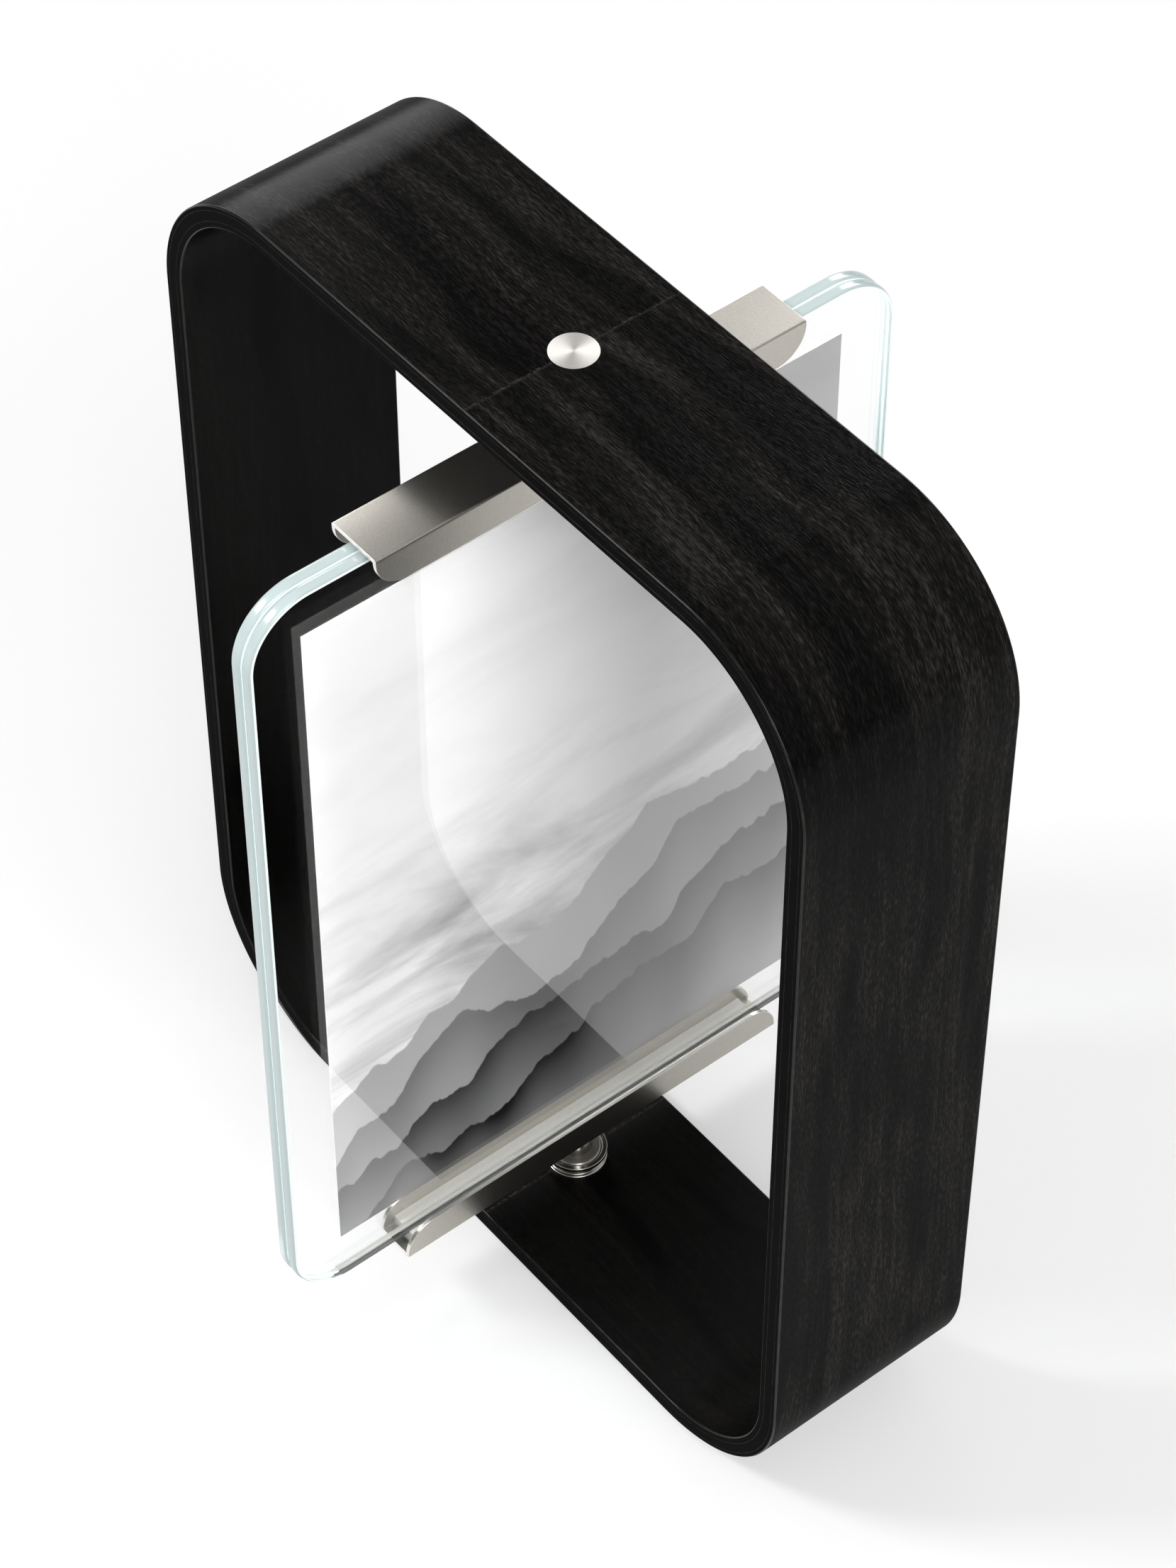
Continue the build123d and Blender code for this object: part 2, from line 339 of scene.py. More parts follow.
# A place on the picture is mm across from its middle and up from its foot
picture = {
    "paper": "#e8e8e6", "roughness": 0.32, "tooth": 0.333, "toothRelief": 0.004,
    # the sky darkens to the right and upwards
    "skyBright": "#e4e4e4", "skyDark": "#7a7a7a", "duskWay": (0.8, 0.5, 0), "dusk": (60, 150),
    "cloud": "#4c4c4c", "cloudSize": (60, 22), "cloudTilt": 0.35,
    "cloudNoise": {"Detail": 8.0, "Roughness": 0.58, "Distortion": 0.4}, "wisps": (0.44, 0.7),
    "cloudHeights": (120, 55), "cloudCover": (0.12, 0.95),  # thin above, thick below
    # ridges from the farthest: height, rise, width of a hill, tone, and which stretch of the noise
    "ridges": ((64, 18, 46, "#a4a4a4", 7.3), (50, 16, 34, "#6e6e6e", 14.6),
               (36, 16, 30, "#303030", 21.9), (20, 14, 26, "#060606", 29.2)),
    "climb": 0.34,  # the land rises to the right
    "crestDetail": 7.0, "crestBlur": 0.5,
    "mist": "#d4d4d4", "mistDetail": 1.0, "mistDepth": 2.2, "mistiest": 0.5,
}


def makePicture():
    # Satin photographic paper, printed in greys on its front: misty hills under a bright sky
    material = newMaterial("printedPhotoPaper")
    tree = material.node_tree
    low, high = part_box("photo_print")
    place = addNode(tree, "ShaderNodeTexCoord")
    apart = addNode(tree, "ShaderNodeSeparateXYZ", {0: place.outputs["Object"]})
    across = addNode(tree, "ShaderNodeMath", {0: apart.outputs["Y"], 1: 1 / mm}, operation="MULTIPLY")
    up = addNode(tree, "ShaderNodeMapRange",
                 {"Value": apart.outputs["Z"], "From Min": low.z, "From Max": high.z,
                  "To Max": (high.z - low.z) / mm})
    inMm = addNode(tree, "ShaderNodeCombineXYZ", {"X": across, "Y": up})

    # Sky, bright on the left and greyer towards the upper right, with drawn-out cloud
    slant = addNode(tree, "ShaderNodeVectorMath", {0: inMm, 1: picture["duskWay"]},
                    operation="DOT_PRODUCT")
    light, dark = picture["dusk"]
    dusk = addNode(tree, "ShaderNodeMapRange",
                   {"Value": slant.outputs["Value"], "From Min": light, "From Max": dark},
                   interpolation_type="SMOOTHSTEP")
    sky = addNode(tree, "ShaderNodeMix",
                  {0: dusk, mixA: colour(picture["skyBright"]), mixB: colour(picture["skyDark"])},
                  data_type="RGBA")
    long, tall = picture["cloudSize"]
    drawn = addNode(tree, "ShaderNodeMapping",
                    {"Vector": inMm, "Rotation": (0, 0, picture["cloudTilt"]),
                     "Scale": (1 / long, 1 / tall, 1)})
    vapour = addNode(tree, "ShaderNodeTexNoise",
                     {"Vector": drawn, "Scale": 1.0, **picture["cloudNoise"]})
    (top, base), (thin, thick) = picture["cloudHeights"], picture["cloudCover"]
    lowCloud = addNode(tree, "ShaderNodeMapRange",
                       {"Value": up, "From Min": top, "From Max": base, "To Min": thin,
                        "To Max": thick})
    clear, full = picture["wisps"]
    wisps = addNode(tree, "ShaderNodeMapRange",
                    {"Value": vapour, "From Min": clear, "From Max": full})
    cover = addNode(tree, "ShaderNodeMath", {0: wisps, 1: lowCloud}, operation="MULTIPLY")
    scene = addNode(tree, "ShaderNodeMix", {0: cover, mixA: sky, mixB: colour(picture["cloud"])},
                    data_type="RGBA")

    # Each ridge is a wandering line. Below it the land starts dark and sinks into mist.
    for height, rise, width, tone, stretch in picture["ridges"]:
        along = addNode(tree, "ShaderNodeMath", {0: across, 1: 1 / width, 2: stretch},
                        operation="MULTIPLY_ADD")
        slope = addNode(tree, "ShaderNodeMath", {0: across, 1: picture["climb"], 2: height - rise},
                        operation="MULTIPLY_ADD")
        below = {}
        for kind in ("crest", "mist"):  # the mist follows a smoother line than the trees on the crest
            line = addNode(tree, "ShaderNodeTexNoise",
                           {"W": along, "Scale": 1.0, "Detail": picture[kind + "Detail"]},
                           noise_dimensions="1D")
            ridge = addNode(tree, "ShaderNodeMath", {0: line, 1: 2 * rise, 2: slope},
                            operation="MULTIPLY_ADD")
            below[kind] = addNode(tree, "ShaderNodeMath", {0: ridge, 1: up}, operation="SUBTRACT")
        land = addNode(tree, "ShaderNodeMapRange",
                       {"Value": below["crest"], "From Max": picture["crestBlur"]})
        mist = addNode(tree, "ShaderNodeMapRange",
                       {"Value": below["mist"], "From Max": picture["mistDepth"] * rise,
                        "To Max": picture["mistiest"]})
        hill = addNode(tree, "ShaderNodeMix",
                       {0: mist, mixA: colour(tone), mixB: colour(picture["mist"])},
                       data_type="RGBA")
        scene = addNode(tree, "ShaderNodeMix", {0: land, mixA: scene, mixB: hill}, data_type="RGBA")

    front = addNode(tree, "ShaderNodeMath", {0: apart.outputs["X"], 1: 0.0},
                    operation="GREATER_THAN")
    sheet = addNode(tree, "ShaderNodeMix", {0: front, mixA: colour(picture["paper"]), mixB: scene},
                    data_type="RGBA")
    tooth = addNode(tree, "ShaderNodeTexNoise",
                    {"Vector": inMm, "Scale": 1 / picture["tooth"], "Detail": 2.0})
    bump = addNode(tree, "ShaderNodeBump",
                   {"Height": tooth, "Distance": picture["toothRelief"] * mm})
    shader = addNode(tree, "ShaderNodeBsdfPrincipled",
                     {"Base Color": sheet, "Roughness": picture["roughness"], "Normal": bump})
    addNode(tree, "ShaderNodeOutputMaterial", {"Surface": shader})
    return material


felt = {"dark": "#0c0c0c", "light": "#262626", "grain": 0.35, "relief": 0.15, "roughness": 0.95,
        "sheen": 0.5}  # pressed wool: matt, with a faint halo from its fibres
nylon = {"dark": "#4a4844", "light": "#5a5853", "grain": 1.2, "relief": 0.01, "roughness": 0.4,
         "sheen": 0.0}  # waxy
acetal = {"dark": "#a5a5a1", "light": "#b6b6b2", "grain": 0.8, "relief": 0.01, "roughness": 0.45,
          "sheen": 0.0}  # moulded: smooth and faintly cloudy


def makeMottled(name, settings):
    # Felt or plastic with a fine mottle in its tone and relief
    material = newMaterial(name)
    tree = material.node_tree
    place = addNode(tree, "ShaderNodeTexCoord")
    mottle = addNode(tree, "ShaderNodeTexNoise",
                     {"Vector": place.outputs["Object"], "Scale": 1 / (settings["grain"] * mm),
                      "Detail": 4.0})
    tone = addNode(tree, "ShaderNodeMix",
                   {0: mottle, mixA: colour(settings["dark"]), mixB: colour(settings["light"])},
                   data_type="RGBA")
    bump = addNode(tree, "ShaderNodeBump", {"Height": mottle, "Distance": settings["relief"] * mm})
    shader = addNode(tree, "ShaderNodeBsdfPrincipled",
                     {"Base Color": tone, "Roughness": settings["roughness"], "Normal": bump,
                      "Sheen Weight": settings["sheen"]})
    addNode(tree, "ShaderNodeOutputMaterial", {"Surface": shader})
    return material


finishes = {
    "veneer": makeVeneer("stainedOakVeneer", veneer),
    "shadedInnerVeneer": makeVeneer("stainedOakVeneerInsidePaintedShade", shadedInnerVeneer),
    "plyEdge": makePlyEdge(),
    "loopArris": makeArris(),
    "nickel": makeMetal("satinBlastedNickel", satinNickel),
    "nickelRim": makeMetal("brightNickelArris", rimNickelPaintedHighlight),
    "turned": makeMetal("turnedNickel", turnedNickel),
    "spun": makeSpunNickel(),
    "pane": makeGlass("lowIronFloatGlass", paneGlass),
    "paneEdge": makeGlass("polishedGlassEdge", edgeGlass),
    "paneArris": makeGlass("groundGlassArris", groundGlass),
    "rearFoot": makeGlass("sawnGlassFoot", footGlass),
    "frontFoot": makeGlass("sawnGlassFootPaintedShade", footGlassPaintedShade),
    "picture": makePicture(),
    "felt": makeMottled("pressedBlackFelt", felt),
    "nylon": makeMottled("greyNylon", nylon),
    "acetal": makeMottled("paleGreyAcetal", acetal),
}
print("materials made:", len(finishes))


# Geometry Nodes

def newTree(name, sizes):
    tree = bpy.data.node_groups.new(name, "GeometryNodeTree")
    for label, kind in sizes.items():
        tree.interface.new_socket(name=label, in_out="INPUT", socket_type="NodeSocket" + kind)
    tree.interface.new_socket(name="Mesh", in_out="OUTPUT", socket_type="NodeSocketGeometry")
    return tree


rounding = {"segments": 3, "sharperThan": 40}  # degrees


def settle(holder, name, bevel=None, bevelSlot=-1):
    # Rounds the edges or evens the shading, and keeps the evaluated result as a plain mesh
    if bevel:
        edges = holder.modifiers.new("round", "BEVEL")
        edges.width = bevel
        edges.segments = rounding["segments"]
        edges.limit_method = "ANGLE"
        edges.angle_limit = math.radians(rounding["sharperThan"])
        edges.harden_normals = True
        edges.material = bevelSlot
    else:
        holder.modifiers.new("flats", "WEIGHTED_NORMAL").keep_sharp = True
    graph = bpy.context.evaluated_depsgraph_get()
    mesh = bpy.data.meshes.new_from_object(holder.evaluated_get(graph), preserve_all_data_layers=True,
                                           depsgraph=graph)
    bpy.data.objects.remove(holder)
    mesh.name = name
    if mesh.materials and mesh.materials[0] is None:  # Geometry Nodes leave an empty first slot
        mesh.materials.pop(index=0)
    return addPiece(name, mesh)


def grow(name, tree, sizes, bevel=None):
    # Runs a tree on an empty mesh
    holder = addPiece(name + "Holder", bpy.data.meshes.new(name + "Holder"))
    builder = holder.modifiers.new("build", "NODES")
    builder.node_group = tree
    for socket in tree.interface.items_tree:
        if socket.in_out == "INPUT":
            builder[socket.identifier] = sizes[socket.name]
    return settle(holder, name, bevel)


def dress(piece, body, slot, *nodes):
    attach(piece, body)
    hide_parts(*nodes)


# Bentwood loop, three layers in two lapped halves

loop = {
    "layers": (("outer", 1.1), ("core", 2.2), ("inner", 1.5)), "coreLap": 14.0, "jointGap": 0.03,
    "bendRadius": 33.5, "bendSteps": 48, "arris": 0.4, "glueRound": 0.04, "roundSteps": 5,
    "bore": 9.6, "boreSteps": 96, "cutter": 1000.0,
    "grainStep": 700.0,  # each layer is cut from another stretch of veneer
    "crease": 50,  # degrees between faces, from which the shading breaks
    # how far a face turns to the loop's side to count as its arris, and as its edge
    "sideways": {"Arris": 0.05, "Edge": 0.97},
}


def makePlyTree():
    # One half of one layer: a U-shaped path round the loop, swept with the layer's section
    tree = newTree("bentPly", {
        "Reach": "Float", "Top": "Float", "Bottom": "Float", "Joint": "Float", "Bend Radius": "Float",
        "Bend Steps": "Int", "Depth": "Float", "Thickness": "Float", "Outer Round": "Float",
        "Inner Round": "Float", "Bore Radius": "Float", "Grain Start": "Float", "Middle": "Float",
        "Face": "Material", "Edge": "Material", "Arris": "Material"})
    given = addNode(tree, "NodeGroupInput").outputs

    # The path's four points: the joint at the top, two corners of the side, the joint at the base
    number = addNode(tree, "GeometryNodeInputIndex")
    fromMiddle = addNode(tree, "ShaderNodeMath", {0: number, 1: 1.5}, operation="SUBTRACT")
    away = addNode(tree, "ShaderNodeMath", {0: fromMiddle}, operation="ABSOLUTE")
    atSide = addNode(tree, "ShaderNodeMath", {0: away, 1: 1.0}, operation="LESS_THAN")
    atTop = addNode(tree, "ShaderNodeMath", {0: fromMiddle, 1: 0.0}, operation="LESS_THAN")
    x = addNode(tree, "ShaderNodeMapRange",
                {"Value": atSide, "To Min": given["Joint"], "To Max": given["Reach"]})
    z = addNode(tree, "ShaderNodeMapRange",
                {"Value": atTop, "To Min": given["Bottom"], "To Max": given["Top"]})
    corners = addNode(tree, "GeometryNodeSetPosition",
                      {"Geometry": addNode(tree, "GeometryNodeMeshLine", {"Count": 4}),
                       "Position": addNode(tree, "ShaderNodeCombineXYZ", {"X": x, "Z": z})})
    path = addNode(tree, "GeometryNodeFilletCurve",
                   {"Curve": addNode(tree, "GeometryNodeMeshToCurve", {"Mesh": corners}),
                    "Count": given["Bend Steps"], "Radius": given["Bend Radius"]}, mode="POLY")
    along = addNode(tree, "ShaderNodeMath",
                    {0: addNode(tree, "GeometryNodeSplineParameter").outputs["Length"],
                     1: given["Grain Start"]}, operation="ADD")
    marked = addNode(tree, "GeometryNodeStoreNamedAttribute",
                     {"Geometry": path, "Name": "along", "Value": along}, data_type="FLOAT")

    # The section, rounded at its outer and inner corners
    half = addNode(tree, "ShaderNodeMath", {0: given["Thickness"], 1: 0.5}, operation="MULTIPLY")
    minus = addNode(tree, "ShaderNodeMath", {0: half, 1: -1.0}, operation="MULTIPLY")
    drawn = addNode(tree, "ShaderNodeSeparateXYZ", {0: addNode(tree, "GeometryNodeInputPosition")})
    outward = addNode(tree, "ShaderNodeMath", {0: drawn.outputs["Y"], 1: -1.0},
                      operation="MULTIPLY")
    corner = addNode(tree, "ShaderNodeMapRange",
                     {"Value": outward, "From Min": minus, "From Max": half,
                      "To Min": given["Inner Round"], "To Max": given["Outer Round"]})
    section = addNode(tree, "GeometryNodeFilletCurve",
                      {"Curve": addNode(tree, "GeometryNodeCurvePrimitiveQuadrilateral",
                                        {"Width": given["Depth"], "Height": given["Thickness"]}),
                       "Count": loop["roundSteps"], "Radius": corner}, mode="POLY")
    inwards = addNode(tree, "ShaderNodeMath", {0: given["Middle"], 1: outward},
                      operation="SUBTRACT")
    ruled = addNode(tree, "GeometryNodeStoreNamedAttribute",
                    {"Geometry": section, "Name": "inwards", "Value": inwards}, data_type="FLOAT")
    swept = addNode(tree, "GeometryNodeCurveToMesh",
                    {"Curve": marked, "Profile Curve": ruled, "Fill Caps": True})

    # Two maps in metres: along and across the veneer's grain, and along and through the layers
    depth = addNode(tree, "ShaderNodeSeparateXYZ", {0: addNode(tree, "GeometryNodeInputPosition")})
    length = addNode(tree, "GeometryNodeInputNamedAttribute", {"Name": "along"}, data_type="FLOAT")
    layer = addNode(tree, "GeometryNodeInputNamedAttribute", {"Name": "inwards"}, data_type="FLOAT")
    laid = swept
    for name, second in (("grain", depth.outputs["Y"]), ("edge", layer)):
        laid = addNode(tree, "GeometryNodeStoreNamedAttribute",
                       {"Geometry": laid, "Name": name,
                        "Value": addNode(tree, "ShaderNodeCombineXYZ", {"X": length, "Y": second})},
                       data_type="FLOAT2", domain="CORNER")

    cutter = addNode(tree, "GeometryNodeMeshCylinder",
                     {"Vertices": loop["boreSteps"], "Radius": given["Bore Radius"],
                      "Depth": loop["cutter"] * mm})
    bored = addNode(tree, "GeometryNodeMeshBoolean",
                    {"Mesh 1": laid, "Mesh 2": cutter}, operation="DIFFERENCE", solver="EXACT")
    smooth = addNode(tree, "GeometryNodeSetShadeSmooth", {"Geometry": bored})
    fold = addNode(tree, "ShaderNodeMath",
                   {0: addNode(tree, "GeometryNodeInputMeshEdgeAngle"),
                    1: math.radians(loop["crease"])},
                   operation="GREATER_THAN")
    crisp = addNode(tree, "GeometryNodeSetShadeSmooth",
                    {"Geometry": smooth, "Selection": fold, "Shade Smooth": False}, domain="EDGE")
    real = addNode(tree, "GeometryNodeRealizeInstances", {"Geometry": crisp})
    facing = addNode(tree, "ShaderNodeSeparateXYZ", {0: addNode(tree, "GeometryNodeInputNormal")})
    turned = addNode(tree, "ShaderNodeMath", {0: facing.outputs["Y"]}, operation="ABSOLUTE")
    finish = addNode(tree, "GeometryNodeSetMaterial", {"Geometry": real, "Material": given["Face"]})
    for name, limit in loop["sideways"].items():
        past = addNode(tree, "ShaderNodeMath", {0: turned, 1: limit}, operation="GREATER_THAN")
        finish = addNode(tree, "GeometryNodeSetMaterial",
                         {"Geometry": finish, "Selection": past, "Material": given[name]})
    addNode(tree, "NodeGroupOutput", {"Mesh": finish})
    return tree


def buildLoop():
    tree = makePlyTree()
    low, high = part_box("left_outer_ply")[0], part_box("right_outer_ply")[1]
    grainStart = 0.0
    for half, side in (("left", -1), ("right", 1)):
        inset = 0.0
        for layer, thickness in loop["layers"]:
            thick = thickness * mm
            middle = inset + thick / 2
            joint = loop["coreLap"] * mm if layer == "core" else 0.0
            outermost = layer == "outer"
            innermost = layer == "inner"
            piece = grow(f"{half}{layer.capitalize()}Ply", tree, {
                "Reach": side * (high.x - middle),
                "Top": high.z - middle,
                "Bottom": low.z + middle,
                "Joint": joint + side * loop["jointGap"] * mm / 2,
                "Bend Radius": loop["bendRadius"] * mm - middle,
                "Bend Steps": loop["bendSteps"],
                "Depth": high.y - low.y,
                "Thickness": thick,
                "Outer Round": (loop["arris"] if outermost else loop["glueRound"]) * mm,
                "Inner Round": (loop["arris"] if innermost else loop["glueRound"]) * mm,
                "Bore Radius": loop["bore"] * mm / 2,
                "Grain Start": grainStart,
                "Middle": middle,
                # the inner layer's face takes the darker copy: painted shade inside the loop
                "Face": finishes["shadedInnerVeneer" if innermost else "veneer"],
                "Edge": finishes["plyEdge"],
                "Arris": finishes["plyEdge" if layer == "core" else "loopArris"],
            })
            slot = "black_edge_ply" if layer == "core" else "black_stained_veneer"
            dress(piece, "stand", slot, f"{half}_{layer}_ply")
            inset += thick
            grainStart += loop["grainStep"] * mm


buildLoop()
print("loop laid up")


# Felt pads under the base

pads = {"diameter": 10.0, "round": 0.25, "sides": 40, "rings": 6}


def buildPads():
    low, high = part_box("felt_pads")
    tree = newTree("feltPads", {"Spread X": "Float", "Spread Y": "Float", "Radius": "Float",
                                "Thickness": "Float", "Finish": "Material"})
    given = addNode(tree, "NodeGroupInput").outputs
    corners = addNode(tree, "GeometryNodeMeshGrid",
                      {"Size X": given["Spread X"], "Size Y": given["Spread Y"], "Vertices X": 2,
                       "Vertices Y": 2})
    disc = addNode(tree, "GeometryNodeMeshCylinder",
                   {"Vertices": pads["sides"], "Side Segments": 1,
                    "Fill Segments": pads["rings"], "Radius": given["Radius"],
                    "Depth": given["Thickness"]})
    lift = addNode(tree, "ShaderNodeMath", {0: given["Thickness"], 1: 0.5}, operation="MULTIPLY")
    raised = addNode(tree, "GeometryNodeTransform",
                     {"Geometry": disc,
                      "Translation": addNode(tree, "ShaderNodeCombineXYZ", {"Z": lift})})
    placed = addNode(tree, "GeometryNodeInstanceOnPoints", {"Points": corners, "Instance": raised})
    real = addNode(tree, "GeometryNodeRealizeInstances", {"Geometry": placed})
    felted = addNode(tree, "GeometryNodeSetMaterial", {"Geometry": real, "Material": given["Finish"]})
    addNode(tree, "NodeGroupOutput", {"Mesh": felted})
    radius = pads["diameter"] * mm / 2
    piece = grow("feltPads", tree, {
        "Spread X": high.x - low.x - 2 * radius, "Spread Y": high.y - low.y - 2 * radius,
        "Radius": radius, "Thickness": high.z - low.z, "Finish": finishes["felt"]},
        bevel=pads["round"] * mm)
    dress(piece, "stand", "black_felt", "felt_pads")


buildPads()


# Panes

pane = {
    "cornerRadius": 14.0, "cornerSteps": 32, "airGap": 0.03, "weld": 0.001,
    "arris": 0.9,  # the edge is ground to a pencil shape
    "foot": 0.9,  # below this height it is left as it was sawn, down in its strip
    "clear": 0.97, "ground": 0.8,  # how squarely a facet faces the front to be the face, or the band
}


def makePaneTree():
    tree = newTree("pane", {"Width": "Float", "Height": "Float", "Corner Radius": "Float",
                            "Corner Steps": "Int", "Thickness": "Float", "Place": "Vector",
                            "Finish": "Material"})
    given = addNode(tree, "NodeGroupInput").outputs
    outline = addNode(tree, "GeometryNodeFilletCurve",
                      {"Curve": addNode(tree, "GeometryNodeCurvePrimitiveQuadrilateral",
                                        {"Width": given["Width"], "Height": given["Height"]}),
                       "Count": given["Corner Steps"], "Radius": given["Corner Radius"]}, mode="POLY")
    sheet = addNode(tree, "GeometryNodeFillCurve", {"Curve": outline}, mode="NGONS")
    raised = addNode(tree, "GeometryNodeExtrudeMesh",
                     {"Mesh": sheet, "Offset Scale": given["Thickness"], "Individual": False})
    back = addNode(tree, "GeometryNodeFlipFaces", {"Mesh": sheet})
    both = addNode(tree, "GeometryNodeJoinGeometry", {"Geometry": raised})
    tree.links.new(back.outputs[0], both.inputs[0])
    solid = addNode(tree, "GeometryNodeMergeByDistance",
                    {"Geometry": both, "Distance": pane["weld"] * mm})
    # Stood up: the outline's X runs along the CAD model's Y, and its Y upwards
    stood = addNode(tree, "GeometryNodeTransform",
                    {"Geometry": solid, "Translation": given["Place"],
                     "Rotation": (math.pi / 2, 0, math.pi / 2)})
    smooth = addNode(tree, "GeometryNodeSetShadeSmooth", {"Geometry": stood})
    real = addNode(tree, "GeometryNodeRealizeInstances", {"Geometry": smooth})
    clear = addNode(tree, "GeometryNodeSetMaterial", {"Geometry": real, "Material": given["Finish"]})
    addNode(tree, "NodeGroupOutput", {"Mesh": clear})
    return tree


def buildPanes():
    tree = makePaneTree()
    faceSlot, edgeSlot, groundSlot, footSlot = range(4)
    for which, side in (("front", 1), ("rear", -1)):
        low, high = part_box(f"{which}_glass")
        gap = pane["airGap"] * mm
        innerFace = low.x + gap if side > 0 else low.x
        piece = grow(f"{which}Pane", tree, {
            "Width": high.y - low.y, "Height": high.z - low.z,
            "Corner Radius": pane["cornerRadius"] * mm, "Corner Steps": pane["cornerSteps"],
            "Thickness": high.x - low.x - gap,
            "Place": (innerFace, (low.y + high.y) / 2, (low.z + high.z) / 2),
            "Finish": finishes["pane"]}, bevel=pane["arris"] * mm)
        # the front pane's foot takes the tint of painted shade
        for finish in ("paneEdge", "paneArris", f"{which}Foot"):
            piece.data.materials.append(finishes[finish])
        foot = low.z + pane["foot"] * mm
        for facet in piece.data.polygons:
            facing = abs(facet.normal.x)
            if facing > pane["clear"]:
                facet.material_index = faceSlot
            elif facet.center.z < foot:
                facet.material_index = footSlot
            else:
                facet.material_index = edgeSlot if facing < pane["ground"] else groundSlot
        dress(piece, f"{which}_pane", "low_iron_glass", f"{which}_glass")


buildPanes()
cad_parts["photo_print"].data.materials[0] = finishes["picture"]
print("panes and print in place")


# Channels, folded from sheet

channel = {
    "edgeRound": 0.16, "weld": 0.002, "flatter": 0.5,  # degrees, below which facets are joined
    "rim": 5.8, "square": 0.9,  # the flanges' rims: how far out, and how squarely they face
}


def weldedCopy(node):
    # A CAD node's loose triangles as one clean shell
    mesh = bpy.data.meshes.new(node + "Copy")
    shell = bmesh.new()
    shell.from_mesh(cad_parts[node].data)
    bmesh.ops.remove_doubles(shell, verts=shell.verts, dist=channel["weld"] * mm)
    bmesh.ops.dissolve_limit(shell, angle_limit=math.radians(channel["flatter"]), verts=shell.verts,
                             edges=shell.edges)
    shell.to_mesh(mesh)
    shell.free()
    stale = mesh.attributes.get("custom_normal")
    if stale:
        mesh.attributes.remove(stale)
    for face in mesh.polygons:
        face.use_smooth = True
    return mesh


def buildChannels():
    for end, opening in (("lower", 1), ("upper", -1)):
        mesh = weldedCopy(f"{end}_channel")
        mesh.materials.append(finishes["nickel"])
        mesh.materials.append(finishes["nickelRim"])
        for face in mesh.polygons:
            # the cut ends and the flanges' rims are polished, and their paler tone is partly a painted
            # highlight
            onFlange = abs(face.center.x) > channel["rim"] * mm
            rim = onFlange and face.normal.z * opening > channel["square"]
            cutEnd = abs(face.normal.y) > channel["square"]
            face.material_index = 1 if rim or cutEnd else 0
        # the rounded edges take the rim nickel too: partly a painted highlight
        piece = settle(addPiece(f"{end}Holder", mesh), f"{end}Channel",
                       bevel=channel["edgeRound"] * mm, bevelSlot=1)
        dress(piece, "panel", "satin_nickel", f"{end}_channel")


buildChannels()
print("channels folded")


# Flanged bushes, turned with a waist under the rim

bush = {
    "steps": 96, "round": 0.14,
    # the ring's section: radius, and depth from the loop's outer face
    "section": ((3.75, 1.0), (4.77, 1.0), (4.77, 4.8), (6.7, 4.8), (6.7, 5.55), (6.05, 5.8),
                (6.05, 6.95), (6.7, 7.2), (6.7, 8.2), (5.65, 8.2), (5.65, 7.95), (5.15, 7.95),
                (5.15, 8.2), (2.55, 8.2), (2.55, 2.6), (3.75, 2.6)),
}


def buildBushes():
    low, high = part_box("left_outer_ply")
    for end, face, inwards in (("lower", low.z, 1), ("upper", high.z, -1)):
        shell = bmesh.new()
        rings = []
        for step in range(bush["steps"]):
            turn = 2 * math.pi * step / bush["steps"]
            rings.append([shell.verts.new((radius * mm * math.cos(turn),
                                           radius * mm * math.sin(turn),
                                           face + inwards * depth * mm))
                          for radius, depth in bush["section"]])
        for step, ring in enumerate(rings):
            after = rings[(step + 1) % len(rings)]
            for i in range(len(ring)):
                j = (i + 1) % len(ring)
                shell.faces.new((ring[i], ring[j], after[j], after[i])).smooth = True
        bmesh.ops.recalc_face_normals(shell, faces=shell.faces)
        mesh = bpy.data.meshes.new(f"{end}Bush")
        shell.to_mesh(mesh)
        shell.free()
        mesh.materials.append(finishes["turned"])
        mesh.materials.append(finishes["nickelRim"])
        # the rounded edges take the rim nickel: partly a painted highlight
        piece = settle(addPiece(f"{end}Holder", mesh), f"{end}Bush", bevel=bush["round"] * mm,
                       bevelSlot=1)
        dress(piece, "stand", "satin_nickel", f"{end}_bush")


buildBushes()
print("bushes turned")


# CAD nodes that keep their shape

kept = {
    "spun": ("lower_cap", "upper_cap"),
    "turned": ("lower_pivot_screw", "upper_pivot_screw", "lower_barrel", "upper_barrel"),
    "nylon": ("lower_washer", "upper_washer"),
    "acetal": ("lower_strip", "upper_strip"),
}
for finish, nodes in kept.items():
    for node in nodes:
        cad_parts[node].data.materials[0] = finishes[finish]


# Floor, light and camera

studio = {
    "floorSize": 8.0, "floor": "#aaaaaa", "floorLift": 0.4, "world": 0.8,
    # What gloss mirrors: a dim room with two soft glows. Each has its direction, the nearness to it
    # at which it starts and is full, and its strength.
    "room": 0.04,
    "glows": (((-0.52, 0.42, 0.74), 0.75, 0.96, 0.26), ((0.6, 0.42, 0.68), 0.5, 0.8, 0.45)),
    # lamps: place, aim, width and height in metres, watts, and whether they light or only glint
    "lamps": {
        "keyLight": ((-1.15, -1.25, 1.7), (0, 0, 0.1), (0.5, 0.5), 36.0, True),
        "fillLight": ((1.9, -0.5, 1.5), (0, 0, 0.1), (1.5, 1.5), 46.0, True),
        "stripLight": ((-0.97, 0.454, 0.645), (-0.08, 0, 0.645), (0.26, 0.89), 4.8, False),
        "sideLight": ((-0.42, 0.9, 0.75), (0, 0.03, 0.22), (0.5, 0.4), 9.0, False),
    },
}
view = {"place": (0.48169, -0.38494, 0.80981), "aim": (0.0, 0.00326, 0.12290), "lens": 107.43,
        "farthest": 30}


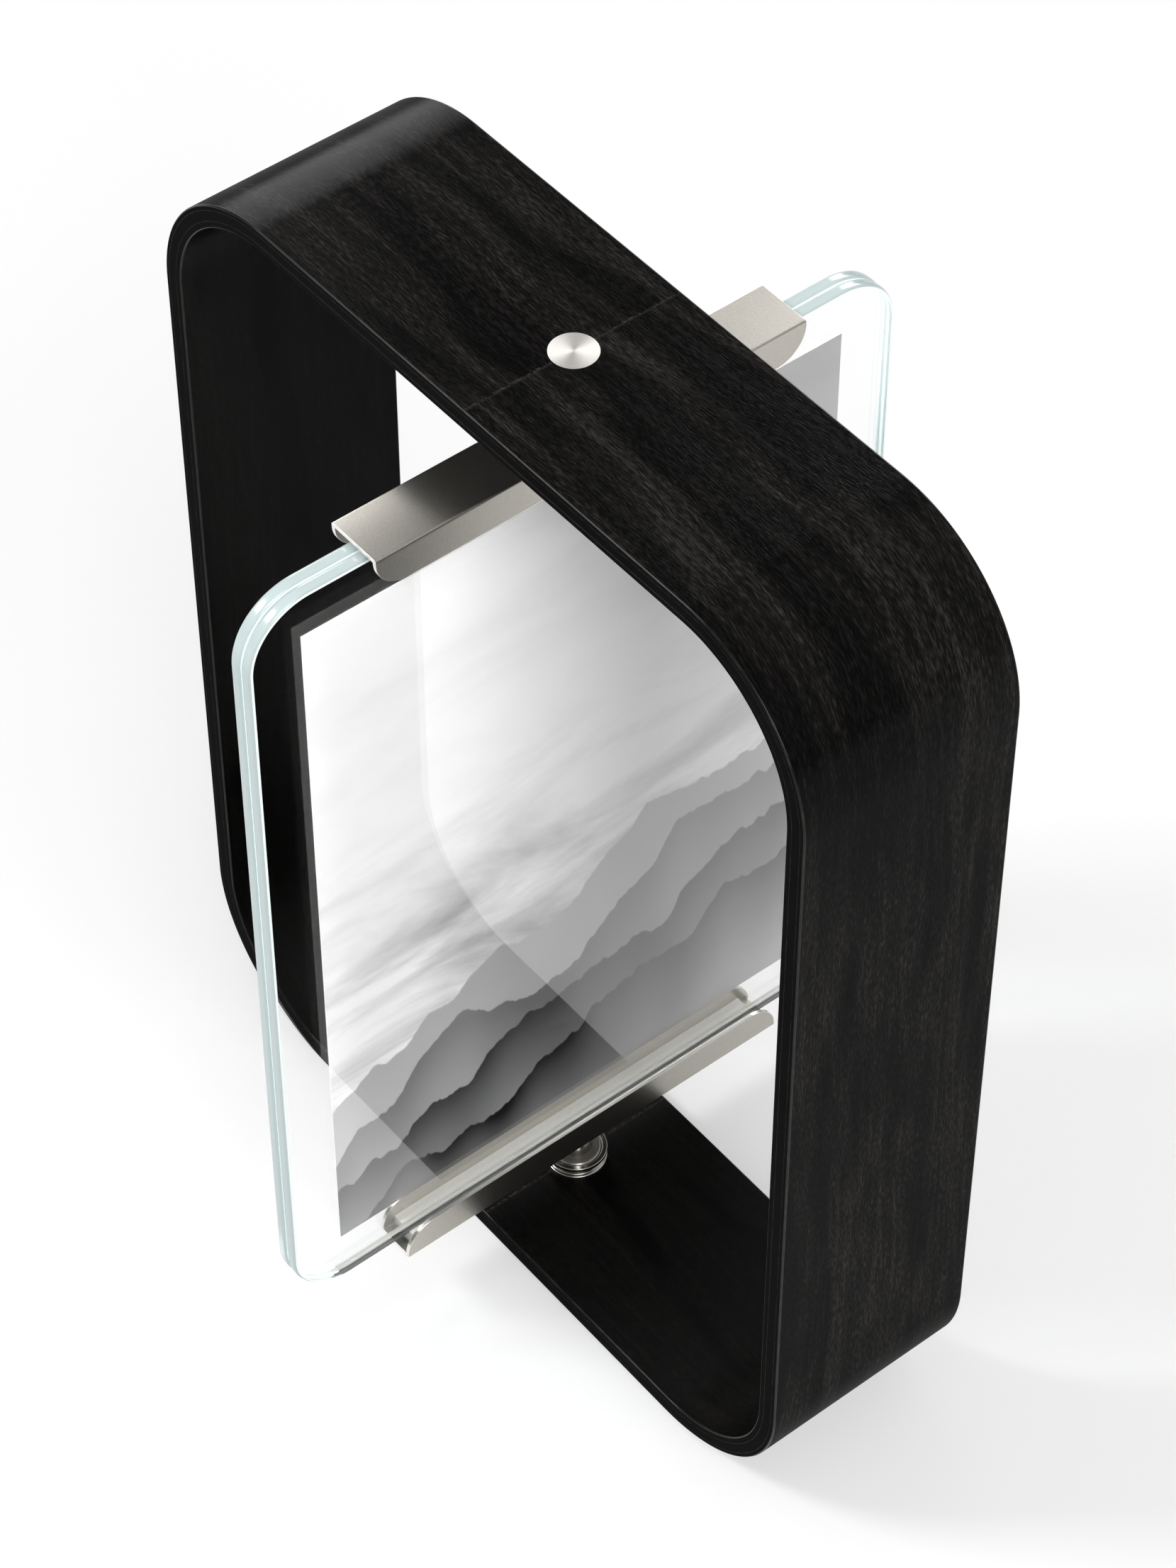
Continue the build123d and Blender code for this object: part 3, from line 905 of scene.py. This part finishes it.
def buildStudio():
    half = studio["floorSize"] / 2
    mesh = bpy.data.meshes.new("studioFloor")
    mesh.from_pydata([(-half, -half, 0), (half, -half, 0), (half, half, 0), (-half, half, 0)], [],
                     [(0, 1, 2, 3)])
    floor = addPiece("studioFloor", mesh)
    material = newMaterial("whiteSweepPaper")
    tree = material.node_tree
    ray = addNode(tree, "ShaderNodeLightPath")
    seen = 0.0
    for kind in ("Camera", "Glossy", "Transmission"):
        seen = addNode(tree, "ShaderNodeMath", {0: ray.outputs[f"Is {kind} Ray"], 1: seen},
                       operation="MAXIMUM")
    lift = addNode(tree, "ShaderNodeMath", {0: seen, 1: studio["floorLift"]}, operation="MULTIPLY")
    matt = addNode(tree, "ShaderNodeBsdfDiffuse", {"Color": colour(studio["floor"])})
    glow = addNode(tree, "ShaderNodeEmission", {"Strength": lift})
    both = addNode(tree, "ShaderNodeAddShader", {0: matt, 1: glow})
    addNode(tree, "ShaderNodeOutputMaterial", {"Surface": both})
    mesh.materials.append(material)

    world = bpy.data.worlds.new("studio")
    world.use_nodes = True
    world.node_tree.nodes.clear()
    tree = world.node_tree
    ray = addNode(tree, "ShaderNodeLightPath")
    way = addNode(tree, "ShaderNodeTexCoord").outputs["Generated"]
    sky = studio["room"]
    for middle, start, full, strength in studio["glows"]:
        near = addNode(tree, "ShaderNodeVectorMath", {0: way, 1: Vector(middle).normalized()},
                       operation="DOT_PRODUCT")
        glow = addNode(tree, "ShaderNodeMapRange",
                       {"Value": near.outputs["Value"], "From Min": start, "From Max": full,
                        "To Max": strength}, interpolation_type="SMOOTHSTEP")
        sky = addNode(tree, "ShaderNodeMath", {0: glow, 1: sky}, operation="ADD")
    glossy = addNode(tree, "ShaderNodeMath",
                     {0: ray.outputs["Is Glossy Ray"], 1: ray.outputs["Is Transmission Ray"]},
                     operation="MAXIMUM")
    lit = addNode(tree, "ShaderNodeMix", {0: glossy, 2: studio["world"], 3: sky})
    shown = addNode(tree, "ShaderNodeMix", {0: ray.outputs["Is Camera Ray"], 2: lit, 3: 1.0})
    white = addNode(tree, "ShaderNodeBackground", {"Strength": shown, "Color": (1, 1, 1, 1)})
    addNode(tree, "ShaderNodeOutputWorld", {"Surface": white})
    bpy.context.scene.world = world

    for name, (place, aim, size, power, lights) in studio["lamps"].items():
        lamp = bpy.data.lights.new(name, "AREA")
        lamp.shape = "RECTANGLE"
        lamp.size, lamp.size_y = size
        lamp.energy = power
        light = addPiece(name, lamp)
        light.visible_diffuse = lights
        light.visible_camera = False
        light.location = place
        towards = Vector(aim) - light.location
        light.rotation_euler = towards.to_track_quat("-Z", "Y").to_euler()

    camera = addPiece("camera", bpy.data.cameras.new("camera"))
    camera.data.lens = view["lens"]
    camera.data.clip_end = view["farthest"]
    camera.location = view["place"]
    towards = Vector(view["aim"]) - camera.location
    camera.rotation_euler = towards.to_track_quat("-Z", "Y").to_euler()
    bpy.context.scene.camera = camera
    bpy.context.scene.view_settings.view_transform = "Standard"


buildStudio()
print("studio lit")
